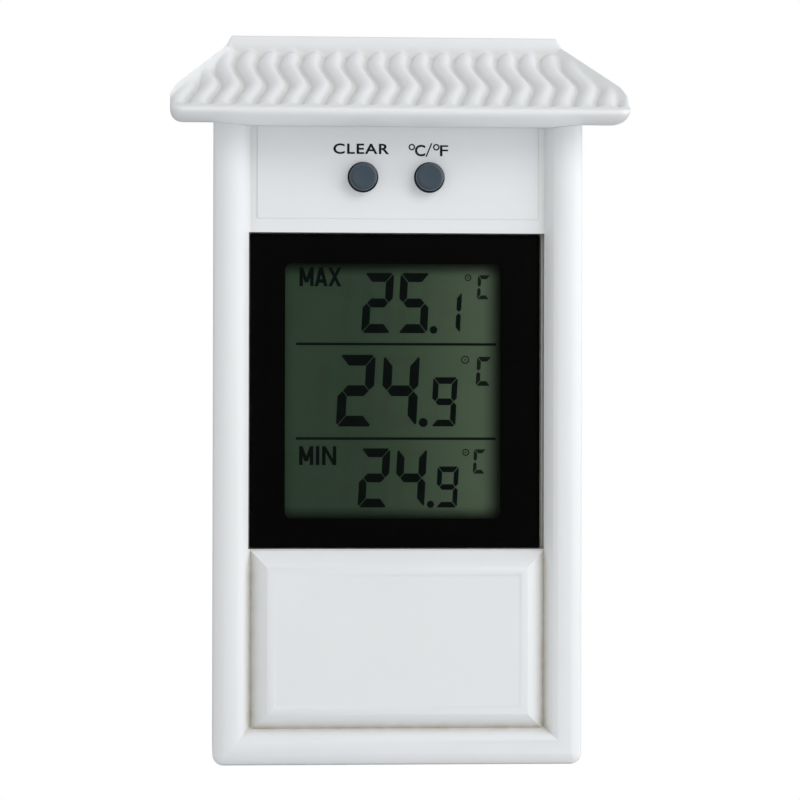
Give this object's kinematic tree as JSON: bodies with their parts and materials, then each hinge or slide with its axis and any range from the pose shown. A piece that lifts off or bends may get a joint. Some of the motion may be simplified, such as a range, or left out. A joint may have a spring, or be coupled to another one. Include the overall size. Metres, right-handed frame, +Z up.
{
  "type": "maximum minimum thermometer",
  "caption": "House-shaped plastic wall thermometer: tiled rain roof over push buttons, a liquid-crystal window between round columns, and a battery door in the back.",
  "frame": {"origin": "middle of the bounding box at the base, on the surface that the thermometer stands on", "axes": "+Z up; +X to the right when facing the display; +Y from the display towards the wall"},
  "size_m": [0.0826, 0.033, 0.1336],
  "materials": {
    "case": "satin",
    "lens": "polished",
    "black_film": "printed",
    "polariser": "film",
    "display_glass": "polished",
    "inner_plastic": "satin",
    "contact_rubber": "matt",
    "button_grey": "satin",
    "switch_black": "matt",
    "steel": "plain",
    "board_green": "solder mask",
    "epoxy": "cast",
    "nickel": "nickel plated",
    "ceramic": "fired",
    "cell_jacket": "shrink sleeve",
    "red_wire": "insulation",
    "black_wire": "insulation"
  },
  "bodies": {
    "case": {"front_housing": "case", "roof": "case", "back_cover": "case", "window_lens": "lens", "window_mask": "black_film", "display_front_polariser": "polariser", "display_front_glass": "display_glass", "display_rear_glass": "display_glass", "display_reflector": "polariser", "display_holder": "inner_plastic", "contact_strip": "contact_rubber", "switch_body_clear": "steel", "switch_body_unit": "steel", "circuit_board": "board_green", "controller_blob": "epoxy", "crystal_can": "nickel", "capacitor": "ceramic", "thermistor_head": "epoxy", "thermistor_lead_left": "nickel", "thermistor_lead_right": "nickel", "battery_contact_positive": "nickel", "battery_contact_negative": "nickel", "battery_spring": "steel", "battery_lead_positive": "red_wire", "battery_lead_negative": "black_wire", "case_screw_1": "steel", "case_screw_2": "steel", "case_screw_3": "steel", "case_screw_4": "steel", "board_screw_1": "steel", "board_screw_2": "steel", "board_screw_3": "steel", "board_screw_4": "steel", "roof_screw_1": "steel", "roof_screw_2": "steel"},
    "clear_button": {"button_clear": "button_grey", "switch_plunger_clear": "switch_black"},
    "unit_button": {"button_unit": "button_grey", "switch_plunger_unit": "switch_black"},
    "door": {"battery_door": "case"},
    "cell": {"battery_cell": "cell_jacket"}
  },
  "joints": [
    {"name": "clear_press", "type": "slide", "parent": "case", "child": "clear_button", "axis": [0, 1, 0], "range_m": [0, 0.0005], "stiffness_N_per_m": 3000},
    {"name": "unit_press", "type": "slide", "parent": "case", "child": "unit_button", "axis": [0, 1, 0], "range_m": [0, 0.0005], "stiffness_N_per_m": 3000},
    {"name": "door_swing", "type": "hinge", "parent": "case", "child": "door", "pos_m": [0, 0.0156, 0.0076], "axis": [-1, 0, 0], "range_deg": [0, 95]},
    {"name": "cell_slide", "type": "slide", "parent": "case", "child": "cell", "axis": [0, 1, 0], "range_m": [0, 0.0135]}
  ],
  "couplings": [
    {"joint": "cell_slide", "follows": "door_swing", "m_per_rad": 0.008}
  ]
}
